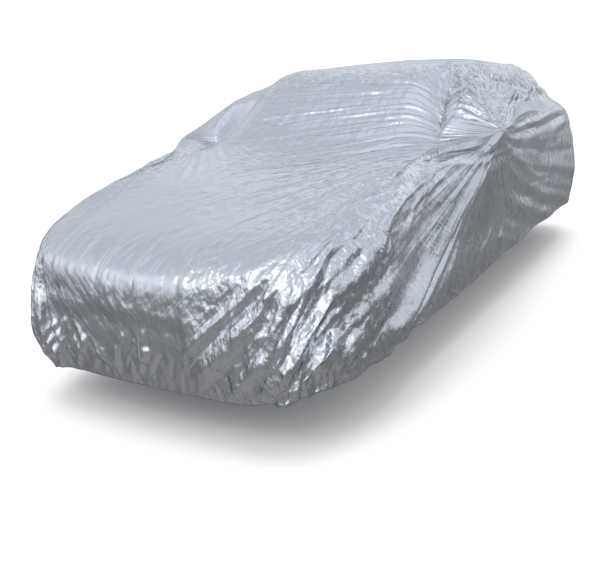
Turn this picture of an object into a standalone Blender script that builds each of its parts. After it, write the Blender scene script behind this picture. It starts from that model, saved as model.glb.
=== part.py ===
"""Car cover: one fitted sheet of metallised film, drawn over a saloon car and hollow beneath.

The cover is one surface with two parameters. Rings run round the car one above the other, from the hem
up to the crown of the roof, and a short table gives each ring's plan and heights. A tent stands out over
each door mirror: flat faces between the tip and the feet where the sheet meets the body again. The main
folds are soft ridges and troughs along lines drawn on that surface. The inner face is the same surface,
one thickness further in.

Sizes are in metres. x is across the car, +x its left side, and y runs from the nose to the tail, with
the front axle at 0. Heights are from the ground while the shape is worked out, and at the end the cover
is moved so that the point under the roof that carries it is the origin.
"""
import bpy
import numpy as np

# Driving dimensions
THICKNESS = 0.002
ROOF_HEIGHT = 1.495
CARRY_STATION = 1.90
HALF_WIDTH = 0.925

# The grid: cells across the car, from hem to hem, and cells along it. Raising the level across the car
# to a power above 1 draws the side's rows down towards the hem, where the folds are.
CELLS_ACROSS = 34
CELLS_ALONG = 70
HEM_CROWDING = 1.2

# Rings round the car, from the hem up to the crown. level runs from 0 at the hem to 1 at the crown.
# front and rear are the stations of the ring's two ends, half is half its width, and bow is how far its
# ends are swept back at the corners. corner_x, corner_f and corner_r are the sizes of its rounded
# corners across the car, along it in front and along it behind. The z columns are its heights at the
# front, the front corner, the middle of the side, the rear corner and the rear.
RING_COLUMNS = ("level", "front", "rear", "half", "bow", "corner_x", "corner_f", "corner_r",
                "z_front", "z_front_corner", "z_side", "z_rear_corner", "z_rear")
RINGS = (
    # hem
    (0.00, -0.945, 3.640, 0.905, 0.055, 0.26, 0.42, 0.60, 0.200, 0.235, 0.345, 0.300, 0.300),
    # skirt
    (0.07, -1.000, 3.700, 0.930, 0.075, 0.27, 0.44, 0.60, 0.370, 0.400, 0.500, 0.500, 0.520),
    # widest line of the body
    (0.14, -0.995, 3.700, 0.925, 0.10, 0.29, 0.48, 0.60, 0.560, 0.600, 0.680, 0.710, 0.750),
    # top edge of the nose, wings and boot
    (0.24, -0.880, 3.580, 0.890, 0.09, 0.29, 0.48, 0.55, 0.775, 0.840, 0.930, 0.975, 1.050),
    # middle of the bonnet
    (0.34, -0.300, 3.450, 0.850, 0.07, 0.26, 0.42, 0.50, 0.930, 0.990, 1.040, 1.070, 1.120),
    # foot of the screens and windows
    (0.46, 0.380, 3.280, 0.765, 0.06, 0.25, 0.36, 0.44, 1.050, 1.085, 1.150, 1.160, 1.190),
    # edge of the roof
    (0.64, 0.990, 2.920, 0.600, 0.05, 0.20, 0.28, 0.34, 1.420, 1.440, 1.415, 1.380, 1.390),
    # flat of the roof
    (0.78, 1.350, 2.550, 0.360, 0.03, 0.14, 0.20, 0.22, 1.478, 1.475, 1.475, 1.465, 1.470),
    # crown of the roof
    (1.00, CARRY_STATION, CARRY_STATION, 0.0, 0.0, 0.0, 0.0, 0.0, ROOF_HEIGHT, ROOF_HEIGHT, ROOF_HEIGHT,
     ROOF_HEIGHT, ROOF_HEIGHT),
)
RING = {name: np.array([row[i] for row in RINGS]) for i, name in enumerate(RING_COLUMNS)}
SIDE_BARREL = 0.03

# Where the hem is drawn up or hangs lower than its ring: how far round, over what reach, and by how much.
# The change fades away by HEM_FADE up the rings.
HEM_COLUMNS = ("around", "reach", "lift")
HEM_LIFTS = (
    (0.90, 0.55, 0.045),
    (1.35, 0.35, 0.040),
    (-0.85, 0.50, -0.055),
    (0.35, 0.20, -0.010),
)
HEM_FADE = 0.14
CORNER_SHARE_END = 0.45
CORNER_SHARE_SIDE = 0.26

# Tents over the door mirrors: the tip stands out over the mirror's outer end, and flat faces run from
# it to these feet on the body, each as how far round and at what level, listed once round the tip. The
# other side of the car mirrors them.
TIP = (1.030, 0.720, 1.130)
MIRROR_REACH = 0.275
FEET = (
    (1.30, 0.63),       # roof edge above the front door
    (1.10, 0.57),       # windscreen pillar
    (1.13, 0.44),       # rear corner of the bonnet
    (1.02, 0.27),       # top of the front wing
    (1.27, 0.00),       # hem over the front wheel
    (1.75, 0.00),       # hem behind the mirror
    (2.45, 0.00),       # hem in front of the rear wheel
    (2.85, 0.27),       # rear wing
    (2.30, 0.54),       # top of the rear door
)
TENT_EASE = 0.80
TENT_FOLLOWS_TIP = 0.60

# Main folds, as lines on the surface. around is 0 at the nose, 1 at the front corner, 2 at the middle
# of the side, 3 at the rear corner and 4 at the tail, positive on the left side. Widths are half widths.
# A height above 0 is a ridge and one below 0 is a trough. All widths are multiplied by the softening, so
# that no fold is narrower than the grid can follow.
FOLD_SOFTENING = 1.4
FOLD_COLUMNS = ("around_a", "level_a", "around_b", "level_b", "width_a", "width_b", "height_a", "height_b")
FOLDS = (
    # left front corner, sweeping down and forward from the wing to the hem
    (1.04, 0.245, 0.62, 0.070, 0.07, 0.07, 0.020, 0.018),
    (1.02, 0.225, 0.50, 0.040, 0.07, 0.07, -0.020, -0.020),
    (1.20, 0.205, 0.55, 0.020, 0.07, 0.08, 0.026, 0.030),
    (1.26, 0.160, 0.68, 0.008, 0.07, 0.07, -0.022, -0.024),
    (1.30, 0.120, 0.80, 0.020, 0.06, 0.07, 0.018, 0.022),
    (0.85, 0.215, 0.42, 0.045, 0.06, 0.07, 0.018, 0.020),
    (0.64, 0.205, 0.20, 0.050, 0.06, 0.07, -0.022, -0.022),
    # nose, tucked in under the bumper's edge
    (-0.52, 0.085, 0.24, 0.085, 0.07, 0.07, -0.018, -0.018),
    # right front corner
    (-0.62, 0.20, -0.45, 0.00, 0.07, 0.08, -0.018, -0.025),
    (-0.82, 0.20, -0.62, 0.00, 0.07, 0.08, 0.018, 0.025),
    (-1.00, 0.22, -0.82, 0.00, 0.08, 0.08, -0.020, -0.025),
    (-1.20, 0.24, -1.02, 0.00, 0.09, 0.09, 0.022, 0.030),
    # roof edge over the rear doors, where the slack is pushed together
    (2.10, 0.60, 2.60, 0.50, 0.07, 0.08, -0.012, -0.014),
    (1.90, 0.54, 2.60, 0.44, 0.06, 0.08, 0.010, 0.012),
    (-2.10, 0.55, -2.75, 0.48, 0.07, 0.08, -0.014, -0.014),
    # tail
    (3.35, 0.22, 3.15, 0.00, 0.09, 0.08, -0.025, -0.030),
    (3.70, 0.20, 3.55, 0.00, 0.09, 0.08, 0.025, 0.030),
    (-3.85, 0.21, -3.75, 0.00, 0.09, 0.08, -0.022, -0.028),
    (-3.40, 0.22, -3.25, 0.00, 0.09, 0.08, 0.025, 0.030),
    (-3.05, 0.24, -2.90, 0.00, 0.09, 0.08, -0.022, -0.028),
)

# Folds from the mirrors over the sides are nearly straight on the side laid flat: how far back from the
# front axle, how far up, with whatever lies in from the widest line counted as height too, and how far
# the middle hangs below the straight line. hand is 1 on the left and -1 on the right.
SIDE_COLUMNS = ("hand", "back_a", "up_a", "back_b", "up_b", "sag", "width_a", "width_b", "height_a", "height_b")
SIDE_FOLDS = (
    # left mirror down to the front wheel: a broad ridge, the valley behind it and a second ridge
    (1, 0.68, 1.00, -0.52, 0.34, 0.05, 0.05, 0.10, 0.015, 0.045),
    (1, 0.74, 0.97, -0.40, 0.34, 0.05, 0.04, 0.08, -0.010, -0.035),
    (1, 0.78, 0.96, -0.28, 0.33, 0.06, 0.04, 0.08, 0.012, 0.028),
    # left mirror back to the rear wing, with the hollow under it
    (1, 0.82, 1.04, 3.12, 1.16, 0.01, 0.05, 0.09, 0.015, 0.022),
    (1, 0.86, 1.00, 2.80, 1.04, 0.00, 0.05, 0.10, -0.018, -0.026),
    (1, 0.86, 0.97, 2.60, 0.93, 0.02, 0.05, 0.09, 0.012, 0.016),
    # slack of the rear side, hanging in diagonals
    (1, 1.00, 0.86, 3.20, 0.37, 0.06, 0.06, 0.09, 0.016, 0.026),
    (1, 1.10, 0.76, 3.10, 0.33, 0.06, 0.07, 0.09, -0.014, -0.020),
    (1, 1.10, 0.62, 2.40, 0.35, 0.05, 0.06, 0.08, 0.012, 0.016),
    # right mirror
    (-1, 0.70, 1.00, -0.46, 0.33, 0.04, 0.05, 0.09, 0.015, 0.036),
    (-1, 0.76, 0.97, -0.28, 0.33, 0.05, 0.05, 0.08, -0.012, -0.030),
    (-1, 0.82, 1.04, 3.10, 1.12, 0.01, 0.05, 0.09, 0.015, 0.022),
    (-1, 0.90, 0.98, 2.70, 0.98, 0.02, 0.05, 0.09, -0.018, -0.022),
    (-1, 1.10, 0.86, 3.20, 0.42, 0.05, 0.06, 0.08, 0.016, 0.022),
)
LINE_PARTS = 24


def smooth(t, knots, values):
    """Values read along t by cubics that pass through each knot with its neighbours' mean slope."""
    slopes = np.gradient(values, knots)
    i = np.clip(np.searchsorted(knots, t, side="right") - 1, 0, len(knots) - 2)
    width = knots[i + 1] - knots[i]
    f = (t - knots[i]) / width
    return ((1 + 2 * f) * (1 - f) ** 2 * values[i] + f * (1 - f) ** 2 * width * slopes[i]
            + f ** 2 * (3 - 2 * f) * values[i + 1] - f ** 2 * (1 - f) * width * slopes[i + 1])


def step(value, low, high):
    """0 below low, 1 above high, and a smooth rise between them."""
    f = np.clip((value - low) / (high - low), 0, 1)
    return f * f * (3 - 2 * f)


def ring_height(around, level):
    """Height of the ring at level, read between its five heights by how far round the point is."""
    heights = np.stack([smooth(level, RING["level"], RING[name]) for name in RING_COLUMNS[8:]])
    i = np.clip(np.floor(around).astype(int), 0, 3)
    f = around - i
    pick = lambda k: np.take_along_axis(heights, np.clip(k, 0, 4)[None], 0)[0]
    before, start, end, after = pick(np.abs(i - 1)), pick(i), pick(i + 1), pick(np.where(i == 3, 3, i + 2))
    slope_start = (end - before) / 2
    slope_end = (after - start) / 2
    return ((1 + 2 * f) * (1 - f) ** 2 * start + f * (1 - f) ** 2 * slope_start
            + f ** 2 * (3 - 2 * f) * end - f ** 2 * (1 - f) * slope_end)


def body_point(around, level):
    """The sheet drawn over the body, without mirrors or folds.

    Half of a ring's plan is a straight end, a quarter ellipse, a straight side, a second quarter
    ellipse and a straight end. angle turns from 0 to 90 degrees through each quarter ellipse.
    """
    ring = {name: smooth(level, RING["level"], RING[name]) for name in RING_COLUMNS[1:8]}
    side = np.where(around < 0, -1.0, 1.0)
    p = np.abs(around)
    q = np.where(p > 2, 4 - p, p)
    angle = np.where(q < 1, 0.5 * np.clip((q - 1 + CORNER_SHARE_END) / CORNER_SHARE_END, 0, 1),
                     0.5 + 0.5 * np.clip((q - 1) / CORNER_SHARE_SIDE, 0, 1)) * np.pi / 2
    straight_end = np.clip(q / (1 - CORNER_SHARE_END), 0, 1)
    straight_side = np.clip((q - 1 - CORNER_SHARE_SIDE) / (1 - CORNER_SHARE_SIDE), 0, 1)
    x = (ring["half"] - ring["corner_x"]) * straight_end + ring["corner_x"] * np.sin(angle)
    corner = np.where(p > 2, ring["corner_r"], ring["corner_f"])
    middle = 0.5 * (ring["front"] + ring["rear"])
    inset = corner * (1 - np.cos(angle)) + ring["bow"] * (x / np.maximum(ring["half"], 1e-6)) ** 2
    inset = inset + (0.5 * (ring["rear"] - ring["front"]) - corner - ring["bow"]) * straight_side
    y = np.where(p > 2, ring["rear"] - inset, ring["front"] + inset)
    length = np.maximum(ring["rear"] - ring["front"], 1e-6)
    x = x * (1 - SIDE_BARREL * (2 * (y - middle) / length) ** 2)
    z = ring_height(p, level)
    for row in HEM_LIFTS:
        hem = dict(zip(HEM_COLUMNS, row))
        near = 1 - step(np.abs(around - hem["around"]), 0, hem["reach"])
        z = z + hem["lift"] * near * (1 - step(level, 0, HEM_FADE))
    return np.stack([side * x, y, z], -1)


def unfold(points):
    """The side of the car laid flat: station, and height plus how far in from the widest line."""
    return np.stack([points[..., 1], points[..., 2] + HALF_WIDTH - points[..., 0]], -1)


def tent(points, outward):
    """Draw points of the left side out onto the flat faces between the mirror tip and its feet.

    In the side laid flat, a point between two feet is a times the way to one plus b times the way to
    the next. On the face it is a times and b times those same ways, taken from the tip in space. Far
    from the tip the sheet only moves straight out, and where a face would cut into the body it stays.
    """
    tip = np.array(TIP)
    under = tip - (MIRROR_REACH, 0, 0)
    feet = body_point(*np.array(FEET).T)
    flat = unfold(points) - unfold(under)
    raised = points.copy()
    for foot, other in zip(feet, np.roll(feet, -1, axis=0)):
        way = unfold(foot) - unfold(under)
        next_way = unfold(other) - unfold(under)
        turn = way[0] * next_way[1] - way[1] * next_way[0]
        a = (flat[..., 0] * next_way[1] - flat[..., 1] * next_way[0]) / turn
        b = (flat[..., 1] * way[0] - flat[..., 0] * way[1]) / turn
        lift = tip + a[..., None] * (foot - tip) + b[..., None] * (other - tip) - points
        proud = np.sum(lift * outward, -1, keepdims=True)
        follow = 1 - step(a + b, 0, TENT_FOLLOWS_TIP)[..., None]
        lift = proud * outward + follow * (lift - proud * outward)
        inside = (a >= 0) & (b >= 0) & (a + b < 1) & (points[..., 0] > 0)
        share = step(proud, -0.01, 0.03) * (1 - step(a + b, TENT_EASE, 1.0))[..., None]
        raised = np.where(inside[..., None], points + share * lift, raised)
    return raised


def facing(surface, around, level):
    """The surface's outward direction, from its slopes along a ring and up through the rings."""
    small = 1e-4
    up = surface(around, level + small) - surface(around, level - small)
    along = surface(around + small, level) - surface(around - small, level)
    normal = np.cross(along, up)
    size = np.linalg.norm(normal, axis=-1, keepdims=True)
    straight_up = (level > 0.99)[..., None]
    return np.where(straight_up, (0.0, 0.0, 1.0), normal / np.maximum(size, 1e-12))


def draped(around, level):
    """The body's sheet with a tent drawn out over each mirror."""
    points = body_point(around, level)
    outward = facing(body_point, around, level)
    flip = np.array((-1.0, 1.0, 1.0))
    points = tent(points, outward)
    return tent(points * flip, outward * flip) * flip


def fold(places, line, widths, heights):
    """How far one fold lifts each of the places.

    Across its line a fold is (1 - (distance / width)^2)^2 high, and along it the height grows from
    nothing, holds and dies away again.
    """
    lift = np.zeros(places.shape[:-1])
    widest = max(widths)
    near = np.all((places > line.min(0) - widest) & (places < line.max(0) + widest), axis=-1)
    picked = places[near]
    best = np.full(len(picked), np.inf)
    place = np.zeros(len(picked))
    for k in range(len(line) - 1):
        run = line[k + 1] - line[k]
        f = np.clip((picked - line[k]) @ run / (run @ run), 0, 1)
        distance = np.linalg.norm(picked - line[k] - f[:, None] * run, axis=-1)
        closer = distance < best
        best = np.where(closer, distance, best)
        place = np.where(closer, (k + f) / (len(line) - 1), place)
    width = widths[0] + place * (widths[1] - widths[0])
    height = heights[0] + place * (heights[1] - heights[0])
    ends = np.sqrt(np.clip(4 * place * (1 - place), 0, 1))
    lift[near] = height * ends * np.clip(1 - (best / width) ** 2, 0, 1) ** 2
    return lift


def fold_height(points):
    """Sum of all the folds at each point of the draped sheet."""
    total = np.zeros(points.shape[:-1])
    share = np.linspace(0, 1, LINE_PARTS + 1)
    for row in FOLDS + SIDE_FOLDS:
        on_side = len(row) == len(SIDE_COLUMNS)
        size = dict(zip(SIDE_COLUMNS if on_side else FOLD_COLUMNS, row))
        if on_side:
            back = size["back_a"] + share * (size["back_b"] - size["back_a"])
            up = size["up_a"] + share * (size["up_b"] - size["up_a"]) - 4 * size["sag"] * share * (1 - share)
            line = np.stack([back, up], -1)
            places = unfold(points * (size["hand"], 1, 1))
        else:
            line = draped(size["around_a"] + share * (size["around_b"] - size["around_a"]),
                          size["level_a"] + share * (size["level_b"] - size["level_a"]))
            places = points
        widths = (FOLD_SOFTENING * size["width_a"], FOLD_SOFTENING * size["width_b"])
        lift = fold(places, line, widths, (size["height_a"], size["height_b"]))
        total += np.where(points[..., 0] * size["hand"] > 0, lift, 0) if on_side else lift
    return total


def cover_surface(across, along):
    """The finished outer face, for across and along from -1 to 1.

    Points with the same largest value of |across| and |along| lie on one ring, so a plain rectangular
    grid closes over the crown without a pole.
    """
    size = np.maximum(np.abs(across), np.abs(along))
    level = 1 - size
    safe = np.maximum(size, 1e-9)
    share_across = across / safe
    share_along = along / safe
    on_side = np.abs(across) >= np.abs(along)
    side = np.where(across < 0, -1.0, 1.0)
    around = np.where(on_side, 2 + share_along, np.where(along < 0, np.abs(share_across),
                                                         4 - np.abs(share_across))) * side
    points = draped(around, level)
    normals = facing(draped, around, level)
    return points + fold_height(points)[..., None] * normals


def vertex_normals(points, faces):
    """Mean direction of the triangles at each vertex, weighted by their areas."""
    corners = points[faces]
    direction = np.cross(corners[:, 1] - corners[:, 0], corners[:, 2] - corners[:, 0])
    normals = np.zeros_like(points)
    for k in range(3):
        np.add.at(normals, faces[:, k], direction)
    return normals / np.linalg.norm(normals, axis=1, keepdims=True)


def grid_faces(points, columns, rows):
    """Two triangles for each cell of a grid of columns by rows points, turned to face outwards. Each cell
    is split along the diagonal that leaves its two triangles the flatter, so a fold keeps its line."""
    index = np.arange(columns * rows).reshape(columns, rows)
    corner = [index[:-1, :-1].ravel(), index[1:, :-1].ravel(), index[1:, 1:].ravel(), index[:-1, 1:].ravel()]
    splits = []
    flatness = []
    for start in (0, 1):
        a, b, c, d = corner[start:] + corner[:start]
        pair = np.stack([a, b, c, a, c, d], -1).reshape(-1, 2, 3)
        edges = points[pair]
        normals = np.cross(edges[:, :, 1] - edges[:, :, 0], edges[:, :, 2] - edges[:, :, 0])
        normals = normals / np.linalg.norm(normals, axis=-1, keepdims=True)
        splits.append(pair)
        flatness.append(np.sum(normals[:, 0] * normals[:, 1], axis=-1))
    return np.where((flatness[1] > flatness[0])[:, None, None], splits[1], splits[0]).reshape(-1, 3)


def edge_loop(columns, rows):
    """The grid's outer points in order, anticlockwise when seen from above."""
    index = np.arange(columns * rows).reshape(columns, rows)
    return np.concatenate([index[:-1, 0], index[-1, :-1], index[:0:-1, -1], index[0, :0:-1]])


def film_material():
    material = bpy.data.materials.new("silver_film")
    material.use_nodes = True
    shader = material.node_tree.nodes["Principled BSDF"]
    shader.inputs["Base Color"].default_value = (0.62, 0.64, 0.67, 1.0)
    shader.inputs["Metallic"].default_value = 0.85
    shader.inputs["Roughness"].default_value = 0.35
    return material


def build_cover():
    """The sheet as a closed solid: outer face, inner face one thickness in, and the hem's edge."""
    columns, rows = CELLS_ACROSS + 1, CELLS_ALONG + 1
    across = np.linspace(-1, 1, columns)
    across = np.sign(across) * (1 - (1 - np.abs(across)) ** HEM_CROWDING)
    across, along = np.meshgrid(across, np.linspace(-1, 1, rows), indexing="ij")
    outer = cover_surface(across, along).reshape(-1, 3)
    outer = outer - (0.0, CARRY_STATION, ROOF_HEIGHT - THICKNESS)
    faces = grid_faces(outer, columns, rows)
    inner = outer - THICKNESS * vertex_normals(outer, faces)
    loop = edge_loop(columns, rows)
    after = np.roll(loop, -1)
    count = len(outer)
    rim = np.stack([loop, loop + count, after + count, loop, after + count, after], -1).reshape(-1, 3)
    mesh = bpy.data.meshes.new("cover")
    mesh.from_pydata(np.vstack([outer, inner]).tolist(), [],
                     np.vstack([faces, faces[:, ::-1] + count, rim]).tolist())
    mesh.shade_smooth()
    mesh.materials.append(film_material())
    bpy.context.collection.objects.link(bpy.data.objects.new("cover", mesh))


for leftover in list(bpy.data.objects):
    bpy.data.objects.remove(leftover, do_unlink=True)
build_cover()
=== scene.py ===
# %% [markdown]
# # A car cover of silver film
#
# The real thing is one large sheet of thin metallised film, drawn over a car and held by elastic in its
# hem. It could be draped with a cloth solver, but then its folds would fall where they like. Here each
# shape is worked out instead: the sheet over the body, the tents over the mirrors, the big folds, the
# fans of small tension folds and the crumpling, each as a step that moves the points of one grid.

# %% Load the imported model
import math
import bpy
import numpy as np
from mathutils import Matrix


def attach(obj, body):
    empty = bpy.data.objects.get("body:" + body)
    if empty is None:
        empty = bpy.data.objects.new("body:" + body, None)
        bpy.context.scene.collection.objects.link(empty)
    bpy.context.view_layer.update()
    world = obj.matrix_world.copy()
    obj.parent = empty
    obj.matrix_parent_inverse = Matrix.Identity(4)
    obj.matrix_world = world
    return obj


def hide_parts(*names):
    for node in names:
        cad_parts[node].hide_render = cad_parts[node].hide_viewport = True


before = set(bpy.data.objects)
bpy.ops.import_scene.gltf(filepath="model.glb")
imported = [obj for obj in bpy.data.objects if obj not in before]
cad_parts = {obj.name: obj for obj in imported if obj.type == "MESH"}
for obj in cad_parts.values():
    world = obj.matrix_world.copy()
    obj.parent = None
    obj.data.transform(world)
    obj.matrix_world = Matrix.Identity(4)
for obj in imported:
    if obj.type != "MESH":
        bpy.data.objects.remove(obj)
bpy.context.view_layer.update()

# %% [markdown]
# The frame's origin is the point under the roof that carries the cover. While shapes are worked out it
# is easier to count stations back from the car's front axle and heights up from the ground, so `PLACE`
# turns one into the other at the end.

# %% Where the car stands
ROOF_HEIGHT = 1.495
CARRY_STATION = 1.90
THICKNESS = 0.002
PLACE = np.array((0.0, -CARRY_STATION, THICKNESS - ROOF_HEIGHT))
print("the ground lies at z =", round(PLACE[2], 3))

# %% [markdown]
# ## The sheet over the body
#
# A cover touches a car along a few lines: the edge of the roof, the foot of the windows, the top edge of
# the wings, the widest line of the doors. Each is a closed ring round the car, so the shape is a short
# table of rings with smooth cubics between them. A loft in Blender would need each ring drawn as a curve;
# a table keeps every size in one place.

# %% The rings round the car
RING_COLUMNS = ("level", "front", "rear", "half", "bow", "corner_x", "corner_f", "corner_r",
                "z_front", "z_front_corner", "z_side", "z_rear_corner", "z_rear")
RINGS = (
    # hem
    (0.00, -0.945, 3.640, 0.905, 0.055, 0.26, 0.42, 0.60, 0.200, 0.235, 0.345, 0.300, 0.300),
    # skirt
    (0.07, -1.000, 3.700, 0.930, 0.075, 0.27, 0.44, 0.60, 0.370, 0.400, 0.500, 0.500, 0.520),
    # widest line of the body
    (0.14, -0.995, 3.700, 0.925, 0.10, 0.29, 0.48, 0.60, 0.560, 0.600, 0.680, 0.710, 0.750),
    # top edge of the nose, wings and boot
    (0.24, -0.880, 3.580, 0.890, 0.09, 0.29, 0.48, 0.55, 0.775, 0.840, 0.930, 0.975, 1.050),
    # middle of the bonnet
    (0.34, -0.300, 3.450, 0.850, 0.07, 0.26, 0.42, 0.50, 0.930, 0.990, 1.040, 1.070, 1.120),
    # foot of the screens and windows
    (0.46, 0.380, 3.280, 0.765, 0.06, 0.25, 0.36, 0.44, 1.050, 1.085, 1.150, 1.160, 1.190),
    # edge of the roof
    (0.64, 0.990, 2.920, 0.600, 0.05, 0.20, 0.28, 0.34, 1.420, 1.440, 1.415, 1.380, 1.390),
    # flat of the roof
    (0.78, 1.350, 2.550, 0.360, 0.03, 0.14, 0.20, 0.22, 1.478, 1.475, 1.475, 1.465, 1.470),
    # crown of the roof
    (1.00, CARRY_STATION, CARRY_STATION, 0.0, 0.0, 0.0, 0.0, 0.0, ROOF_HEIGHT, ROOF_HEIGHT, ROOF_HEIGHT,
     ROOF_HEIGHT, ROOF_HEIGHT),
)
RING = {name: np.array([row[i] for row in RINGS]) for i, name in enumerate(RING_COLUMNS)}
HALF_WIDTH = 0.925
SIDE_BARREL = 0.03
CORNER_SHARE_END = 0.45
CORNER_SHARE_SIDE = 0.26

# Where the hem is drawn up or hangs lower than its ring: how far round, over what reach, and by how much.
HEM_LIFTS = (
    (0.90, 0.55, 0.045),
    (1.35, 0.35, 0.040),
    (-0.85, 0.50, -0.055),
    (0.35, 0.20, -0.010),
)
HEM_FADE = 0.14
print(len(RINGS), "rings, from the hem to the crown")


# %% Reading between the rings
def smooth(t, knots, values):
    """Values read along t by cubics that pass through each knot with its neighbours' mean slope."""
    slopes = np.gradient(values, knots)
    i = np.clip(np.searchsorted(knots, t, side="right") - 1, 0, len(knots) - 2)
    width = knots[i + 1] - knots[i]
    f = (t - knots[i]) / width
    return ((1 + 2 * f) * (1 - f) ** 2 * values[i] + f * (1 - f) ** 2 * width * slopes[i]
            + f ** 2 * (3 - 2 * f) * values[i + 1] - f ** 2 * (1 - f) * width * slopes[i + 1])


def step(value, low, high):
    """0 below low, 1 above high, and a smooth rise between them."""
    f = np.clip((value - low) / (high - low), 0, 1)
    return f * f * (3 - 2 * f)


def ring_height(around, level):
    """Height of the ring at level, read between its five heights by how far round the point is."""
    heights = np.stack([smooth(level, RING["level"], RING[name]) for name in RING_COLUMNS[8:]])
    i = np.clip(np.floor(around).astype(int), 0, 3)
    f = around - i
    pick = lambda k: np.take_along_axis(heights, np.clip(k, 0, 4)[None], 0)[0]
    before, start, end, after = pick(np.abs(i - 1)), pick(i), pick(i + 1), pick(np.where(i == 3, 3, i + 2))
    slope_start = (end - before) / 2
    slope_end = (after - start) / 2
    return ((1 + 2 * f) * (1 - f) ** 2 * start + f * (1 - f) ** 2 * slope_start
            + f ** 2 * (3 - 2 * f) * end - f ** 2 * (1 - f) * slope_end)


def body_point(around, level):
    """The sheet drawn over the body, without mirrors or folds.

    around is 0 at the nose, 1 at the front corner, 2 at the middle of the side, 3 at the rear corner and
    4 at the tail, positive on the left side. Half of a ring's plan is a straight end, a quarter ellipse,
    a straight side, a second quarter ellipse and a straight end.
    """
    ring = {name: smooth(level, RING["level"], RING[name]) for name in RING_COLUMNS[1:8]}
    side = np.where(around < 0, -1.0, 1.0)
    p = np.abs(around)
    q = np.where(p > 2, 4 - p, p)
    angle = np.where(q < 1, 0.5 * np.clip((q - 1 + CORNER_SHARE_END) / CORNER_SHARE_END, 0, 1),
                     0.5 + 0.5 * np.clip((q - 1) / CORNER_SHARE_SIDE, 0, 1)) * np.pi / 2
    straight_end = np.clip(q / (1 - CORNER_SHARE_END), 0, 1)
    straight_side = np.clip((q - 1 - CORNER_SHARE_SIDE) / (1 - CORNER_SHARE_SIDE), 0, 1)
    x = (ring["half"] - ring["corner_x"]) * straight_end + ring["corner_x"] * np.sin(angle)
    corner = np.where(p > 2, ring["corner_r"], ring["corner_f"])
    middle = 0.5 * (ring["front"] + ring["rear"])
    inset = corner * (1 - np.cos(angle)) + ring["bow"] * (x / np.maximum(ring["half"], 1e-6)) ** 2
    inset = inset + (0.5 * (ring["rear"] - ring["front"]) - corner - ring["bow"]) * straight_side
    y = np.where(p > 2, ring["rear"] - inset, ring["front"] + inset)
    length = np.maximum(ring["rear"] - ring["front"], 1e-6)
    x = x * (1 - SIDE_BARREL * (2 * (y - middle) / length) ** 2)
    z = ring_height(p, level)
    for place, reach, lift in HEM_LIFTS:
        z = z + lift * (1 - step(np.abs(around - place), 0, reach)) * (1 - step(level, 0, HEM_FADE))
    return np.stack([side * x, y, z], -1)


# %% [markdown]
# ## The tents over the mirrors
#
# A sheet that hangs on a point makes flat faces between straight tension lines. So each tent is a
# pyramid: its tip stands over the mirror's outer end, and its feet are points where the sheet meets the
# body again. Where a face would cut into the body, the body's own shape stays.

# %% The tents
TIP = (1.030, 0.720, 1.130)
MIRROR_REACH = 0.275
FEET = (
    (1.30, 0.63),       # roof edge above the front door
    (1.10, 0.57),       # windscreen pillar
    (1.13, 0.44),       # rear corner of the bonnet
    (1.02, 0.27),       # top of the front wing
    (1.27, 0.00),       # hem over the front wheel
    (1.75, 0.00),       # hem behind the mirror
    (2.45, 0.00),       # hem in front of the rear wheel
    (2.85, 0.27),       # rear wing
    (2.30, 0.54),       # top of the rear door
)
TENT_EASE = 0.80
TENT_FOLLOWS_TIP = 0.60
FLIP = np.array((-1.0, 1.0, 1.0))


def unfold(points):
    """The side of the car laid flat: station, and height plus how far in from the widest line."""
    return np.stack([points[..., 1], points[..., 2] + HALF_WIDTH - points[..., 0]], -1)


def tent(points, outward):
    """Draw points of the left side out onto the flat faces between the mirror tip and its feet.

    In the side laid flat, a point between two feet is a times the way to one plus b times the way to
    the next. On the face it is a times and b times those same ways, taken from the tip in space. Far
    from the tip the sheet only moves straight out, and where a face would cut into the body it stays.
    """
    tip = np.array(TIP)
    under = tip - (MIRROR_REACH, 0, 0)
    feet = body_point(*np.array(FEET).T)
    flat = unfold(points) - unfold(under)
    raised = points.copy()
    for foot, other in zip(feet, np.roll(feet, -1, axis=0)):
        way = unfold(foot) - unfold(under)
        next_way = unfold(other) - unfold(under)
        turn = way[0] * next_way[1] - way[1] * next_way[0]
        a = (flat[..., 0] * next_way[1] - flat[..., 1] * next_way[0]) / turn
        b = (flat[..., 1] * way[0] - flat[..., 0] * way[1]) / turn
        lift = tip + a[..., None] * (foot - tip) + b[..., None] * (other - tip) - points
        proud = np.sum(lift * outward, -1, keepdims=True)
        follow = 1 - step(a + b, 0, TENT_FOLLOWS_TIP)[..., None]
        lift = proud * outward + follow * (lift - proud * outward)
        inside = (a >= 0) & (b >= 0) & (a + b < 1) & (points[..., 0] > 0)
        share = step(proud, -0.01, 0.03) * (1 - step(a + b, TENT_EASE, 1.0))[..., None]
        raised = np.where(inside[..., None], points + share * lift, raised)
    return raised


def facing(around, level):
    """The body sheet's outward direction, from its slopes along a ring and up through the rings."""
    small = 1e-4
    up = body_point(around, level + small) - body_point(around, level - small)
    along = body_point(around + small, level) - body_point(around - small, level)
    normal = np.cross(along, up)
    size = np.linalg.norm(normal, axis=-1, keepdims=True)
    return np.where((level > 0.99)[..., None], (0.0, 0.0, 1.0), normal / np.maximum(size, 1e-12))


def draped(around, level):
    """The body's sheet with a tent drawn out over each mirror."""
    points = body_point(around, level)
    outward = facing(around, level)
    points = tent(points, outward)
    return tent(points * FLIP, outward * FLIP) * FLIP


print("tents with", len(FEET), "faces each, tips", 2 * TIP[0], "m apart")

# %% [markdown]
# ## One grid for the whole sheet
#
# The rings are laid on a plain rectangular grid: a point's level is one less the larger of |across| and
# |along|, so the grid closes over the roof without a pole and opens at the hem.

# %% The grid
CELLS_ACROSS = 480
CELLS_ALONG = 980
HEM_CROWDING = 1.2
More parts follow.
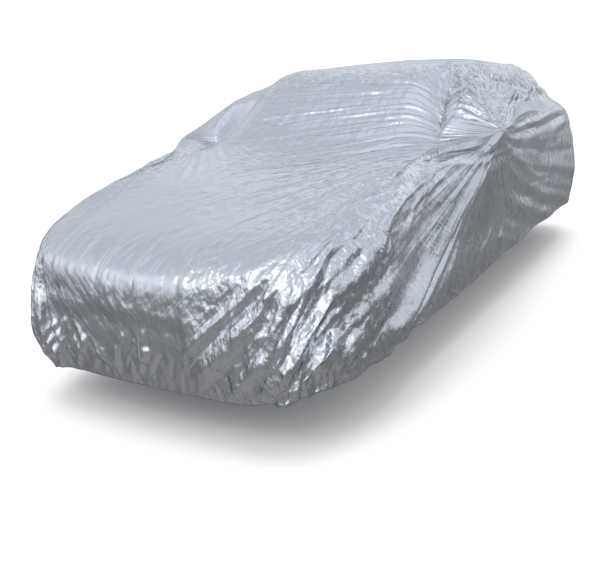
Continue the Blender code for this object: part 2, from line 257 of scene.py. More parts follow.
# the tents stretch the grid near their tips, so it starts out closer there
TIP_ACROSS, TIP_ALONG = 0.48, -0.45
CROWDED_REACH = 0.07
CROWDED_EXTRA = 2.0


def unit(vectors):
    """The same directions with length 1."""
    return vectors / np.maximum(np.linalg.norm(vectors, axis=-1, keepdims=True), 1e-12)


def grid_normals(points):
    """Outward directions of a grid of points, from the differences to its neighbours both ways."""
    return unit(np.cross(np.gradient(points, axis=0), np.gradient(points, axis=1)))


def crowded(cells, places, reach, extra):
    """Numbers from -1 to 1, closer together near the given places.

    Their density is 1 plus extra times exp(-(d / reach)^2), where d is the distance to the place.
    """
    fine = np.linspace(-1, 1, 4001)
    density = 1 + extra * sum(np.exp(-((fine - place) / reach) ** 2) for place in places)
    count = np.concatenate([[0], np.cumsum(0.5 * (density[1:] + density[:-1]))])
    return np.interp(np.linspace(0, count[-1], cells + 1), count, fine)


across = crowded(CELLS_ACROSS, (-TIP_ACROSS, TIP_ACROSS), CROWDED_REACH, CROWDED_EXTRA)
across = np.sign(across) * (1 - (1 - np.abs(across)) ** HEM_CROWDING)
along = crowded(CELLS_ALONG, (TIP_ALONG,), CROWDED_REACH, CROWDED_EXTRA)
across, along = np.meshgrid(across, along, indexing="ij")
size = np.maximum(np.abs(across), np.abs(along))
level = 1 - size
share_across = across / np.maximum(size, 1e-9)
share_along = along / np.maximum(size, 1e-9)
on_side = np.abs(across) >= np.abs(along)
around = np.where(across < 0, -1.0, 1.0) * np.where(
    on_side, 2 + share_along, np.where(along < 0, np.abs(share_across), 4 - np.abs(share_across)))
points = draped(around, level)
print(points.shape[0] * points.shape[1], "points")

# %% [markdown]
# ## The main folds
#
# These are the folds that catch the eye: the tight ridges that run from the mirror down to the wheel, the
# sweep of slack round the front corner, the hanging diagonals behind. They are given one by one, each by
# the two ends of its line on the sheet, so they can be moved one at a time.

# %% The main folds
FOLD_COLUMNS = ("around_a", "level_a", "around_b", "level_b", "width_a", "width_b", "height_a", "height_b")
FOLDS = (
    # left front corner, sweeping down and forward from the wing to the hem
    (1.02, 0.250, 0.60, 0.060, 0.05, 0.05, 0.015, 0.016),
    (1.06, 0.235, 0.68, 0.060, 0.04, 0.04, -0.016, -0.014),
    (1.24, 0.215, 0.52, 0.020, 0.05, 0.06, 0.014, 0.022),
    (1.16, 0.215, 0.44, 0.035, 0.04, 0.04, -0.014, -0.016),
    (1.30, 0.150, 0.66, 0.015, 0.05, 0.05, 0.016, 0.020),
    (1.27, 0.170, 0.62, 0.030, 0.04, 0.04, -0.014, -0.016),
    (1.32, 0.090, 0.86, 0.005, 0.04, 0.04, -0.014, -0.014),
    # short bright ridge high on the corner
    (0.96, 0.215, 0.86, 0.140, 0.030, 0.030, 0.016, 0.014),
    (0.90, 0.225, 0.82, 0.150, 0.030, 0.030, -0.012, -0.012),
    # folds crowded together where the hem comes up over the front wheel
    (1.32, 0.070, 0.98, 0.012, 0.022, 0.025, 0.013, 0.012),
    (1.32, 0.052, 1.02, 0.004, 0.020, 0.020, 0.010, 0.010),
    (1.31, 0.036, 1.08, 0.002, 0.016, 0.018, 0.008, 0.008),
    (1.33, 0.085, 0.90, 0.014, 0.020, 0.022, 0.010, 0.012),
    # two deep diagonal folds on the left of the nose
    (0.62, 0.210, 0.19, 0.062, 0.028, 0.032, -0.022, -0.022),
    (0.60, 0.220, 0.18, 0.078, 0.018, 0.020, 0.010, 0.012),
    (0.66, 0.200, 0.22, 0.040, 0.032, 0.034, 0.014, 0.016),
    (0.70, 0.190, 0.26, 0.020, 0.030, 0.036, -0.018, -0.018),
    (0.76, 0.180, 0.34, 0.010, 0.036, 0.040, 0.014, 0.018),
    (0.50, 0.215, 0.30, 0.130, 0.030, 0.030, -0.010, -0.012),
    # where the tucked-in part of the nose ends on its left
    (0.245, 0.230, 0.225, 0.070, 0.030, 0.030, 0.012, 0.012),
    # right front corner
    (-0.62, 0.20, -0.45, 0.00, 0.05, 0.06, -0.022, -0.028),
    (-0.70, 0.20, -0.54, 0.00, 0.04, 0.05, 0.018, 0.025),
    (-0.82, 0.20, -0.64, 0.00, 0.04, 0.05, -0.014, -0.020),
    (-0.92, 0.21, -0.76, 0.00, 0.05, 0.06, 0.018, 0.022),
    (-1.08, 0.23, -0.92, 0.00, 0.06, 0.07, -0.020, -0.026),
    # the foot of the left mirror's tent, filled out to run smoothly into the wing
    (1.03, 0.345, 1.17, 0.430, 0.070, 0.060, 0.022, 0.018),
    # right mirror forward along the edge of the bonnet
    (-1.40, 0.43, -0.92, 0.26, 0.04, 0.05, 0.018, 0.016),
    (-1.30, 0.42, -0.78, 0.27, 0.04, 0.05, -0.012, -0.012),
    # roof edge over the rear doors, where the slack is pushed together
    (2.10, 0.60, 2.60, 0.50, 0.05, 0.06, -0.012, -0.014),
    (1.90, 0.54, 2.60, 0.44, 0.05, 0.06, 0.010, 0.012),
    (2.35, 0.62, 2.95, 0.54, 0.04, 0.05, 0.010, 0.012),
    (-2.10, 0.55, -2.75, 0.48, 0.07, 0.08, -0.014, -0.014),
    # tail
    (3.35, 0.22, 3.15, 0.00, 0.08, 0.08, -0.025, -0.030),
    (3.70, 0.20, 3.55, 0.00, 0.08, 0.08, 0.025, 0.030),
    (-3.85, 0.21, -3.75, 0.00, 0.08, 0.08, -0.022, -0.028),
    (-3.40, 0.22, -3.25, 0.00, 0.08, 0.08, 0.025, 0.030),
    (-3.05, 0.24, -2.90, 0.00, 0.08, 0.08, -0.022, -0.028),
)

# Folds from the mirrors over the sides are nearly straight on the side laid flat: how far back from the
# front axle, how far up, with whatever lies in from the widest line counted as height too, and how far
# the middle hangs below the straight line.
SIDE_COLUMNS = ("hand", "back_a", "up_a", "back_b", "up_b", "sag",
                "width_a", "width_b", "height_a", "height_b")
SIDE_FOLDS = (
    # left mirror down to the front wheel: a broad ridge, the valley behind it and a narrower ridge
    (1, 0.72, 1.03, -0.56, 0.34, 0.030, 0.045, 0.110, 0.032, 0.070),
    (1, 0.70, 0.985, -0.44, 0.34, 0.040, 0.034, 0.055, -0.014, -0.036),
    (1, 0.72, 0.955, -0.35, 0.33, 0.050, 0.034, 0.050, 0.018, 0.034),
    (1, 0.58, 0.800, -0.24, 0.33, 0.055, 0.034, 0.045, -0.008, -0.016),
    (1, 0.50, 0.700, -0.13, 0.33, 0.050, 0.034, 0.042, 0.005, 0.012),
    # left mirror back to the rear wing, with the hollows under it
    (1, 0.76, 1.04, 3.12, 1.16, 0.01, 0.030, 0.060, 0.016, 0.026),
    (1, 0.84, 1.02, 1.90, 1.05, 0.00, 0.030, 0.055, -0.012, -0.022),
    (1, 0.84, 1.01, 2.00, 0.99, 0.01, 0.030, 0.050, 0.010, 0.012),
    (1, 0.88, 0.99, 1.90, 0.90, 0.03, 0.030, 0.050, -0.010, -0.014),
    (1, 2.85, 1.11, 1.80, 1.02, 0.01, 0.050, 0.045, -0.016, -0.012),
    (1, 2.95, 1.05, 1.90, 0.93, 0.02, 0.060, 0.055, 0.012, 0.009),
    # slack of the rear side, hanging in diagonals
    (1, 0.90, 0.96, 3.20, 0.44, 0.04, 0.020, 0.045, 0.006, 0.014),
    (1, 1.00, 0.86, 3.20, 0.37, 0.06, 0.040, 0.080, 0.012, 0.024),
    (1, 1.10, 0.77, 3.10, 0.33, 0.06, 0.050, 0.080, -0.012, -0.020),
    (1, 1.10, 0.70, 2.60, 0.37, 0.05, 0.040, 0.070, 0.014, 0.020),
    (1, 1.10, 0.60, 2.30, 0.34, 0.04, 0.050, 0.060, -0.012, -0.014),
    (1, 0.95, 0.50, 1.90, 0.34, 0.03, 0.040, 0.060, 0.012, 0.012),
    (1, 1.90, 0.82, 3.30, 0.58, 0.03, 0.060, 0.080, 0.010, 0.018),
    (1, 1.70, 0.90, 3.20, 0.76, 0.02, 0.050, 0.060, -0.010, -0.016),
    # right mirror
    (-1, 0.70, 1.02, -0.46, 0.33, 0.04, 0.050, 0.080, 0.020, 0.036),
    (-1, 0.74, 0.99, -0.28, 0.33, 0.05, 0.030, 0.055, -0.020, -0.034),
    (-1, 0.76, 0.97, -0.12, 0.33, 0.05, 0.025, 0.045, 0.016, 0.026),
    (-1, 0.80, 1.04, 3.10, 1.12, 0.01, 0.050, 0.090, 0.022, 0.024),
    (-1, 0.90, 0.98, 2.70, 0.98, 0.02, 0.045, 0.090, -0.022, -0.024),
    (-1, 1.10, 0.86, 3.20, 0.42, 0.05, 0.060, 0.080, 0.016, 0.022),
    (-1, 1.00, 0.80, 2.30, 0.36, 0.05, 0.060, 0.080, -0.014, -0.018),
)


def fold(places, line, widths, heights, crest):
    """Which of the places a fold reaches, and how far it lifts them.

    Across the line the fold is (1 - (d / w)^2)^2 high with a round crest, or (1 - d / w)^2 with a sharp
    one, where d is the distance and w the half width. crest mixes the two. Along the line the height
    grows from nothing over the first eighth and dies away over the last quarter.
    """
    widest = max(widths)
    low = line.min(0) - widest
    high = line.max(0) + widest
    near = np.flatnonzero(np.all((places > low) & (places < high), axis=1))
    picked = places[near]
    best = np.full(len(picked), np.inf)
    place = np.zeros(len(picked))
    for k in range(len(line) - 1):
        run = line[k + 1] - line[k]
        f = np.clip((picked - line[k]) @ run / (run @ run), 0, 1)
        distance = np.linalg.norm(picked - line[k] - f[:, None] * run, axis=-1)
        closer = distance < best
        best = np.where(closer, distance, best)
        place = np.where(closer, (k + f) / (len(line) - 1), place)
    inside = np.clip(best / (widths[0] + place * (widths[1] - widths[0])), 0, 1)
    profile = (1 - crest) * (1 - inside ** 2) ** 2 + crest * (1 - inside) ** 2
    ends = np.clip(8 * place, 0, 1) * np.clip(4 * (1 - place), 0, 1)
    ends = ends * (2 - ends)
    return near, (heights[0] + place * (heights[1] - heights[0])) * ends * profile


def sheet_line(around_a, level_a, around_b, level_b, parts=24):
    """Points of the draped sheet along a straight line in around and level."""
    t = np.linspace(0, 1, parts + 1)
    return draped(around_a + t * (around_b - around_a), level_a + t * (level_b - level_a))


# any large odd numbers do, as long as no two cells near each other come out alike
CELL_MIX = (127.1, 311.7, 74.7)
SEED_MIX, AXIS_MIX = 53.3, 19.19
LARGE = 43758.5453


def lattice(cell, seed, axis):
    """A repeatable random number from 0 to 1 for each whole-numbered cell: the fraction part of a large
    sine of the cell's numbers."""
    mixed = (cell[..., 0] * CELL_MIX[0] + cell[..., 1] * CELL_MIX[1] + cell[..., 2] * CELL_MIX[2]
             + seed * SEED_MIX + axis * AXIS_MIX)
    return np.mod(np.sin(mixed) * LARGE, 1.0)


def wander(places, scale, seed):
    """Smooth noise from -1 to 1: random numbers at the corners of cubes of the given size, blended by
    3 f^2 - 2 f^3 between them."""
    p = places / scale
    base = np.floor(p)
    f = p - base
    f = f * f * (3 - 2 * f)
    total = np.zeros(places.shape[:-1])
    for i in (0, 1):
        for j in (0, 1):
            for k in (0, 1):
                weight = np.abs(1 - i - f[..., 0]) * np.abs(1 - j - f[..., 1]) * np.abs(1 - k - f[..., 2])
                total += weight * lattice(base + (i, j, k), seed, 0)
    return 2 * total - 1


def patch_share(around_a, around_b, level_a, level_b, soft_around=0.10, soft_level=0.022, uneven_by=0.0):
    """1 inside a patch of the sheet and 0 outside it, with soft edges, uneven by the given levels."""
    a, l = around.ravel(), level.ravel() + uneven_by
    return (step(a, around_a - soft_around, around_a + soft_around)
            * (1 - step(a, around_b - soft_around, around_b + soft_around))
            * step(l, level_a - soft_level, level_a + soft_level)
            * (1 - step(l, level_b - soft_level, level_b + soft_level)))


def softened(heights, times):
    """Heights averaged with their neighbours on the grid, 1 to 2 to 1 each way, so that no fold has steps
    finer than the grid can follow."""
    for _ in range(times):
        padded = np.pad(heights, 1, mode="edge")
        across_mean = 0.25 * padded[:-2] + 0.5 * padded[1:-1] + 0.25 * padded[2:]
        heights = 0.25 * across_mean[:, :-2] + 0.5 * across_mean[:, 1:-1] + 0.25 * across_mean[:, 2:]
    return heights


flat_points = points.reshape(-1, 3)
WANDER_SIZE = 0.35
WANDER_BY = 0.012
drift = np.stack([wander(flat_points, WANDER_SIZE, seed) for seed in (1, 2, 3)], -1)
wandering = flat_points + WANDER_BY * drift
# the plan map holds the part of the sheet above this height, and places off a map are put far away
TOP_FROM = 0.80
FAR_OFF = 99.0
left_side = unfold(flat_points)
right_side = unfold(flat_points * FLIP)
left_side[flat_points[:, 0] < 0] = FAR_OFF
right_side[flat_points[:, 0] > 0] = FAR_OFF
on_top = np.where((wandering[:, 2] > TOP_FROM)[:, None], wandering[:, :2], FAR_OFF)
WHERE = {"sheet": wandering, "plan": on_top, "left": left_side, "right": right_side}

SHEET_CREST = 0.55
SIDE_CREST = 0.60
SAGGING_PARTS = 8
MAIN_SOFTENING = 3
lifted = np.zeros(len(flat_points))
for row in FOLDS:
    entry = dict(zip(FOLD_COLUMNS, row))
    line = sheet_line(entry["around_a"], entry["level_a"], entry["around_b"], entry["level_b"])
    near, height = fold(WHERE["sheet"], line, (entry["width_a"], entry["width_b"]),
                        (entry["height_a"], entry["height_b"]), SHEET_CREST)
    lifted[near] += height
share = np.linspace(0, 1, SAGGING_PARTS + 1)
for row in SIDE_FOLDS:
    entry = dict(zip(SIDE_COLUMNS, row))
    back = entry["back_a"] + share * (entry["back_b"] - entry["back_a"])
    up = entry["up_a"] + share * (entry["up_b"] - entry["up_a"]) - 4 * entry["sag"] * share * (1 - share)
    where = "left" if entry["hand"] > 0 else "right"
    near, height = fold(WHERE[where], np.stack([back, up], -1), (entry["width_a"], entry["width_b"]),
                        (entry["height_a"], entry["height_b"]), SIDE_CREST)
    lifted[near] += height
lifted = softened(lifted.reshape(level.shape), MAIN_SOFTENING).ravel()
# under the bumper's edge the sheet is tucked in, and comes out again towards the hem
TUCK = 0.020
TUCK_FROM, TUCK_TO, TUCK_LEVEL = -0.52, 0.235, 0.128
TUCK_ENDS, TUCK_EDGE = 0.04, 0.018
TUCK_WAVE, TUCK_WAVE_LEVEL = 0.13, 0.012
BELOW_HEM = -1.0
tuck_uneven = TUCK_WAVE_LEVEL * wander(flat_points, TUCK_WAVE, 5)
tucked = (patch_share(TUCK_FROM, TUCK_TO, BELOW_HEM, TUCK_LEVEL, TUCK_ENDS, TUCK_EDGE, tuck_uneven)
          * step(level, -0.02, 0.09).ravel())
lifted -= TUCK * tucked
flat_points = flat_points + lifted[:, None] * grid_normals(points).reshape(-1, 3)
points = flat_points.reshape(points.shape)
print(len(FOLDS) + len(SIDE_FOLDS), "main folds, up to", round(float(np.abs(lifted).max()), 3), "m high")

# %% [markdown]
# ## The small tension folds
#
# Thin film can't stretch, so wherever it is pulled it breaks into bundles of narrow folds that run along
# the pull. Each bundle is a loop that scatters lines between two edges, with a fixed seed so that the
# sheet comes out the same each time. The bundles are the fan from each mirror across the windscreen and
# bonnet, the short folds over the nose, the sweep round the front corners, and the gathers of the hem.

# %% The small folds
# no fold is narrower than the grid can follow, and each tapers to this share of its width at its start
NARROWEST = 0.013
STARTS_AT = 0.7
SMALL_LINE_PARTS = 8
SMALL_SOFTENING = 1
# how much of its way a fold keeps, and how its size varies
LENGTH_SHARES = (0.20, 0.85)
SIZE_SHARES = (0.55, 1.30)
chance = np.random.default_rng(11)
small_folds = []


def bundle(where, count, start, end, width, height, crest, slip=0.05, rooted=0.0):
    """Scatter folds between two edges, each given by its two ends. A fold runs from a random share of
    the one to about the same share of the other and keeps only a random stretch of that way, which
    starts at the first edge for the rooted share of the folds."""
    start, end = np.array(start, float), np.array(end, float)
    for _ in range(count):
        share = chance.uniform(0, 1)
        other = share + chance.normal(0, slip)
        a = start[0] + share * (start[1] - start[0])
        b = end[0] + other * (end[1] - end[0])
        length = chance.uniform(*LENGTH_SHARES)
        begin = 0.0 if chance.uniform() < rooted else chance.uniform(0, 1 - length)
        scale = chance.uniform(*SIZE_SHARES)
        small_folds.append((where, a + begin * (b - a), a + (begin + length) * (b - a), width * scale,
                            height * scale * chance.choice((1, 1, -1)), crest))


# A row may end early: then its slip is 0.05 and none of its folds is rooted. The heights take either
# sign, two ridges to each trough.
BUNDLE_COLUMNS = ("where", "count", "start", "end", "width", "height", "crest", "slip", "rooted")
FRONT_BUNDLES = (
    # the left mirror's fan, across the windscreen and over the bonnet
    ("plan", 80, ((0.70, 0.90), (0.84, 0.62)), ((-0.75, 0.98), (-0.60, 0.10)), 0.018, 0.0030, 0.5, 0.04, 0.3),
    ("plan", 90, ((0.80, 0.58), (0.88, 0.25)), ((-0.60, 0.20), (0.40, -0.70)), 0.018, 0.0048, 0.5, 0.05, 0.3),
    ("plan", 14, ((0.74, 0.88), (0.86, 0.64)), ((0.00, 0.96), (0.15, 0.30)), 0.022, 0.0045, 0.4, 0.02, 0.7),
    ("plan", 40, ((0.86, 0.30), (0.90, 0.00)), ((0.45, -0.10), (0.70, -0.60)), 0.020, 0.0055, 0.6, 0.08, 0.2),
    # the right mirror's fan
    ("plan", 30, ((-0.70, 0.86), (-0.82, 0.45)), ((0.10, 0.80), (-0.40, -0.60)), 0.020, 0.0040, 0.5),
    ("plan", 14, ((-0.86, 0.45), (-0.90, 0.20)), ((-0.55, -0.60), (-0.80, -0.55)), 0.022, 0.0065, 0.5),
    # over the front edge of the bonnet, under the bumper's edge and at its right end
    ("sheet", 60, ((-0.62, 0.27), (0.30, 0.27)), ((-0.60, 0.135), (0.24, 0.135)), 0.016, 0.0046, 0.4, 0.02),
    ("sheet", 26, ((-0.55, 0.110), (0.22, 0.110)), ((-0.70, 0.0), (0.05, 0.0)), 0.030, 0.0130, 0.4, 0.03),
    ("sheet", 40, ((-0.55, 0.115), (0.22, 0.115)), ((-0.62, 0.0), (0.16, 0.0)), 0.015, 0.0060, 0.5, 0.03),
    ("sheet", 16, ((-0.60, 0.19), (-0.34, 0.15)), ((-0.42, 0.0), (-0.10, 0.0)), 0.024, 0.0100, 0.6, 0.03),
    # round the left front corner
    ("sheet", 40, ((0.55, 0.22), (1.30, 0.12)), ((0.15, 0.06), (0.80, 0.0)), 0.024, 0.0100, 0.7),
    ("sheet", 30, ((0.85, 0.36), (1.40, 0.30)), ((0.40, 0.24), (1.20, 0.12)), 0.020, 0.0060, 0.6, 0.08),
    # round the right front corner
    ("sheet", 26, ((-1.25, 0.26), (-0.50, 0.22)), ((-1.05, 0.0), (-0.35, 0.0)), 0.024, 0.0090, 0.7),
)
# the same on both sides of the car, in the map of that side
SIDE_BUNDLES = (
    # from the mirrors forward and down, and back
    ("side", 16, ((0.40, 0.90), (0.62, 0.84)), ((-0.62, 0.44), (0.02, 0.34)), 0.014, 0.0022, 0.6, 0.03, 0.1),
    ("side", 14, ((0.40, 1.02), (0.10, 1.06)), ((-0.62, 0.80), (-0.60, 0.45)), 0.018, 0.0024, 0.6, 0.08, 0.1),
    ("side", 20, ((1.10, 1.04), (1.10, 0.86)), ((3.20, 1.20), (3.20, 0.50)), 0.022, 0.0040, 0.5, 0.05, 0.1),
    ("side", 20, ((1.10, 0.80), (1.30, 0.45)), ((2.40, 0.70), (2.60, 0.34)), 0.024, 0.0045, 0.6, 0.08),
    ("side", 26, ((0.40, 0.60), (1.60, 0.60)), ((-0.10, 0.34), (1.20, 0.34)), 0.014, 0.0035, 0.6, 0.08),
    # over the side windows, and round the rear corner and the tail
    ("sheet", 46, ((1.15, 0.66), (2.80, 0.62)), ((1.30, 0.50), (3.00, 0.46)), 0.022, 0.0070, 0.6),
    ("sheet", 40, ((2.80, 0.24), (4.00, 0.24)), ((2.70, 0.0), (3.90, 0.0)), 0.030, 0.0090, 0.6),
)
# across the front edge of the roof
ROOF_BUNDLES = (
    ("sheet", 50, ((-0.80, 0.70), (0.95, 0.70)), ((-0.95, 0.60), (0.75, 0.60)), 0.018, 0.0045, 0.6, 0.06),
)
# the hem's gathers, all the way round: how many, how far up, how far they lean, and how wide and high
GATHERS = 260
GATHER_LEVELS = (0.02, 0.07)
GATHER_LEAN = 0.03
GATHER_WIDTHS = (0.010, 0.022)
GATHER_HEIGHTS = (-0.004, 0.006)
GATHER_CREST = 0.4

for row in FRONT_BUNDLES:
    bundle(**dict(zip(BUNDLE_COLUMNS, row)))
for side, hand in (("left", 1), ("right", -1)):
    for row in SIDE_BUNDLES:
        entry = dict(zip(BUNDLE_COLUMNS, row))
        if entry["where"] == "side":
            entry["where"] = side
        else:
            entry["start"] = np.array(entry["start"]) * (hand, 1)
            entry["end"] = np.array(entry["end"]) * (hand, 1)
        bundle(**entry)
for row in ROOF_BUNDLES:
    bundle(**dict(zip(BUNDLE_COLUMNS, row)))
for _ in range(GATHERS):
    place = chance.uniform(-4, 4)
    top = chance.uniform(*GATHER_LEVELS)
    lean = chance.normal(0, GATHER_LEAN)
    width = chance.uniform(*GATHER_WIDTHS)
    height = chance.uniform(*GATHER_HEIGHTS)
    small_folds.append(("sheet", np.array((place, 0.0)), np.array((place + lean, top)), width, height,
                        GATHER_CREST))

lifted = np.zeros(len(flat_points))
for where, a, b, width, height, crest in small_folds:
    line = sheet_line(*a, *b, SMALL_LINE_PARTS) if where == "sheet" else np.stack([a, b])
    near, height = fold(WHERE[where], line, (max(STARTS_AT * width, NARROWEST), max(width, NARROWEST)),
                        (height, height), crest)
    lifted[near] += height
lifted = softened(lifted.reshape(level.shape), SMALL_SOFTENING).ravel()
flat_points = flat_points + lifted[:, None] * grid_normals(points).reshape(-1, 3)
points = flat_points.reshape(points.shape)
print(len(small_folds), "small folds, up to", round(float(np.abs(lifted).max()), 4), "m high")

# %% [markdown]
# ## Crumpling
#
# Film that is pushed together rather than pulled breaks into flat facets with sharp edges between them.
# For one set of scattered points, the squared distance to the nearest rises by the same curve round each
# point. Taking the same for a second set away from it cancels the curves and leaves flat facets with
# sharp creases, both ridges and valleys. The facets are laid out on a map of the sheet whose first
# direction runs across the pull and whose second runs along it, so they can be drawn out into streaks.

# %% The crumpling
STREAK_COLUMNS = ("map", "around_a", "around_b", "level_a", "level_b", "width", "length", "slope")
STREAKS = (
    # nose, above the bumper's edge and under it
    ("nose", -0.64, 0.26, 0.130, 0.275, 0.045, 0.30, 0.10),
    ("nose", -0.64, 0.26, 0.130, 0.260, 0.022, 0.16, 0.08),
    ("nose", -0.66, 0.26, -0.10, 0.130, 0.060, 0.45, 0.22),
    ("nose", -0.66, 0.26, -0.10, 0.130, 0.026, 0.22, 0.18),
    # left front corner
    ("corner", 0.22, 1.30, -0.10, 0.235, 0.150, 0.30, 0.36),
    ("corner", 0.22, 1.30, -0.10, 0.245, 0.075, 0.15, 0.40),
    ("corner", 0.22, 1.34, -0.10, 0.260, 0.034, 0.07, 0.20),
    # right front corner
    ("corner", -1.45, -0.56, -0.10, 0.235, 0.100, 0.32, 0.36),
    ("corner", -1.45, -0.56, -0.10, 0.245, 0.045, 0.16, 0.36),
    ("corner", -1.45, -0.56, -0.10, 0.245, 0.024, 0.07, 0.26),
    # top of the left wing
    ("top", 0.40, 1.50, 0.200, 0.370, 0.080, 0.26, 0.16),
    ("top", 0.40, 1.50, 0.200, 0.370, 0.034, 0.12, 0.20),
    # the fan over the windscreen and bonnet
    ("top", -1.60, 1.60, 0.250, 0.600, 0.060, 0.80, 0.16),
    ("top", -1.60, 1.60, 0.250, 0.600, 0.026, 0.35, 0.14),
    # sides
    ("side", 1.05, 3.10, -0.10, 0.400, 0.110, 0.60, 0.16),
    ("side", 1.05, 3.10, -0.10, 0.400, 0.040, 0.24, 0.16),
    ("side", -3.10, -1.05, -0.10, 0.400, 0.110, 0.60, 0.16),
    ("side", -3.10, -1.05, -0.10, 0.400, 0.040, 0.24, 0.14),
    # side windows and the edge of the roof
    ("side", 1.04, 3.20, 0.470, 0.670, 0.120, 0.20, 1.00),
    ("side", 1.04, 3.20, 0.475, 0.690, 0.050, 0.09, 0.85),
    ("side", -3.20, -1.15, 0.500, 0.680, 0.080, 0.16, 0.26),
    ("side", -3.20, -1.15, 0.500, 0.690, 0.036, 0.07, 0.30),
    # the roof
    ("top", -4.10, 4.10, 0.600, 1.100, 0.050, 0.22, 0.07),
    ("top", -1.00, 1.10, 0.600, 0.710, 0.030, 0.09, 0.22),
    # boot and rear window
    ("top", 2.60, 4.10, 0.300, 0.640, 0.070, 0.22, 0.16),
    ("top", -4.10, -2.60, 0.300, 0.640, 0.070, 0.22, 0.16),
    # tail
    ("nose", 2.95, 4.10, -0.10, 0.360, 0.090, 0.30, 0.30),
    ("nose", 2.95, 4.10, -0.10, 0.360, 0.035, 0.12, 0.26),
    ("nose", -4.10, -2.95, -0.10, 0.360, 0.090, 0.30, 0.30),
    ("nose", -4.10, -2.95, -0.10, 0.360, 0.035, 0.12, 0.26),
    # crumples along the bumper's edge
    ("nose", -0.62, 0.26, 0.100, 0.180, 0.045, 0.070, 0.34),
    ("nose", -0.62, 0.26, 0.105, 0.170, 0.022, 0.035, 0.26),
)
# the facets of a row have this seed plus the row's number, and their second set of points this much more
FIRST_SEED = 31
SECOND_SET = 7


def nearest_square(p, seed):
    """Squared distance to the nearest of a set of points, one scattered in each unit square."""
    base = np.floor(p)
    best = np.full(p.shape[:-1], np.inf)
    for i in (-1, 0, 1):
        for j in (-1, 0, 1):
            cell = base + (i, j)
            third = np.concatenate([cell, np.zeros_like(cell[..., :1])], -1)
            scattered = cell + np.stack([lattice(third, seed, axis) for axis in (1, 2)], -1)
            best = np.minimum(best, np.sum((scattered - p) ** 2, axis=-1))
    return best


def facets(p, seed):
    """Flat facets about 1 across, in heights whose slopes are about 1: half the difference between the
    squared distances to the two sets of points."""
    return 0.5 * (nearest_square(p, seed) - nearest_square(p, seed + SECOND_SET))


# the maps of the sheet, in metres across the pull and along it: round a tip, a turn of one radian counts
# as so many metres across, and the left and right of the car lie this far apart on a map
ACROSS_AT_HEM = 0.95
UP_AT_HEM = 2.6
CORNER_PULLS = {1: (1.40, 1.00), -1: (-0.90, 1.20)}
SIDE_TURN = 0.9
FAN_TURN = 0.7
APART = 3
RIGHT_FAN_TO = -0.62
a, l = around.ravel(), level.ravel()
MAPS = {"nose": np.stack([ACROSS_AT_HEM * a, UP_AT_HEM * l], -1)}
pulls = np.where((a > 0)[:, None], CORNER_PULLS[1], CORNER_PULLS[-1])
from_pull = MAPS["nose"] - pulls
MAPS["corner"] = np.stack([np.arctan2(from_pull[:, 0], -from_pull[:, 1]) + APART * np.sign(a),
                           np.linalg.norm(from_pull, axis=1)], -1)
hand = np.where(wandering[:, 0] < 0, -1.0, 1.0)
tip_side = unfold(np.array(TIP))
from_tip = unfold(flat_points * np.stack([hand, np.ones_like(hand), np.ones_like(hand)], -1)) - tip_side
reach = np.linalg.norm(from_tip, axis=1)
side_turn = np.arctan2(from_tip[:, 1], from_tip[:, 0])
MAPS["side"] = np.stack([SIDE_TURN * side_turn + APART * hand, reach], -1)
fan_hand = np.where(wandering[:, 0] < RIGHT_FAN_TO, -1.0, 1.0)
from_tip = flat_points[:, :2] - np.stack([fan_hand * TIP[0], np.full_like(fan_hand, TIP[1])], -1)
fan_reach = np.linalg.norm(from_tip, axis=1)
fan_turn = np.arctan2(from_tip[:, 1], -fan_hand * from_tip[:, 0])
MAPS["top"] = np.stack([FAN_TURN * fan_turn + APART * fan_hand, fan_reach], -1)
# the fan is strongest a little way off the mirror and dies out across the bonnet
FAN_LEAST, FAN_MORE = 0.30, 0.50
FAN_GROWS, FAN_FADES = (0.05, 0.80), (0.90, 2.0)
FAN_TOP = 0.60
fan_strength = FAN_LEAST + FAN_MORE * step(fan_reach, *FAN_GROWS) * (1 - step(fan_reach, *FAN_FADES))
fan_strength = np.where(l < FAN_TOP, fan_strength, 1.0)

# the shader draws the finest folds on the same two maps, each where it belongs
FACES_UP = (0.25, 0.60)
PULL_WEIGHT = 0.6
PULL_GROWS = (0.05, 0.50)
upward = step(grid_normals(points).reshape(-1, 3)[:, 2], *FACES_UP)
fan = np.column_stack([MAPS["top"], upward * fan_strength])
pull = np.column_stack([MAPS["side"], PULL_WEIGHT * (1 - upward) * step(reach, *PULL_GROWS)])

# the crumpling is stronger in some patches of this size than in others
PATCH_SIZE = 0.30
PATCH_MEAN, PATCH_VARIES = 0.70, 0.55
# a slope of a third and over counts as fully crumpled, and the smooth nose only half as much
CRUMPLED_BY_SLOPE = 3
NOSE_SMOOTH = 0.5
NOSE_TOP = 0.30
uneven = PATCH_MEAN + PATCH_VARIES * wander(flat_points, PATCH_SIZE, 9)
lifted = np.zeros(len(flat_points))
crumpled = np.zeros(len(flat_points))
for number, row in enumerate(STREAKS):
    entry = dict(zip(STREAK_COLUMNS, row))
    there = patch_share(*row[1:5])
    if entry["map"] == "top":
        there = there * fan_strength
    near = np.flatnonzero(there > 0.001)
    p = MAPS[entry["map"]][near] / (entry["width"], entry["length"])
    height = entry["slope"] * entry["width"] * facets(p, FIRST_SEED + number)
    lifted[near] += there[near] * uneven[near] * height
    crumpled = np.maximum(crumpled, there * min(1.0, CRUMPLED_BY_SLOPE * entry["slope"]))
smooth_nose = patch_share(TUCK_FROM, TUCK_TO, BELOW_HEM, NOSE_TOP, 0.06, 0.02)
crumpled = crumpled * (1 - NOSE_SMOOTH * smooth_nose)
flat_points = flat_points + lifted[:, None] * grid_normals(points).reshape(-1, 3)
points = flat_points.reshape(points.shape)
print("crumpling up to", round(float(np.abs(lifted).max()), 4), "m high")

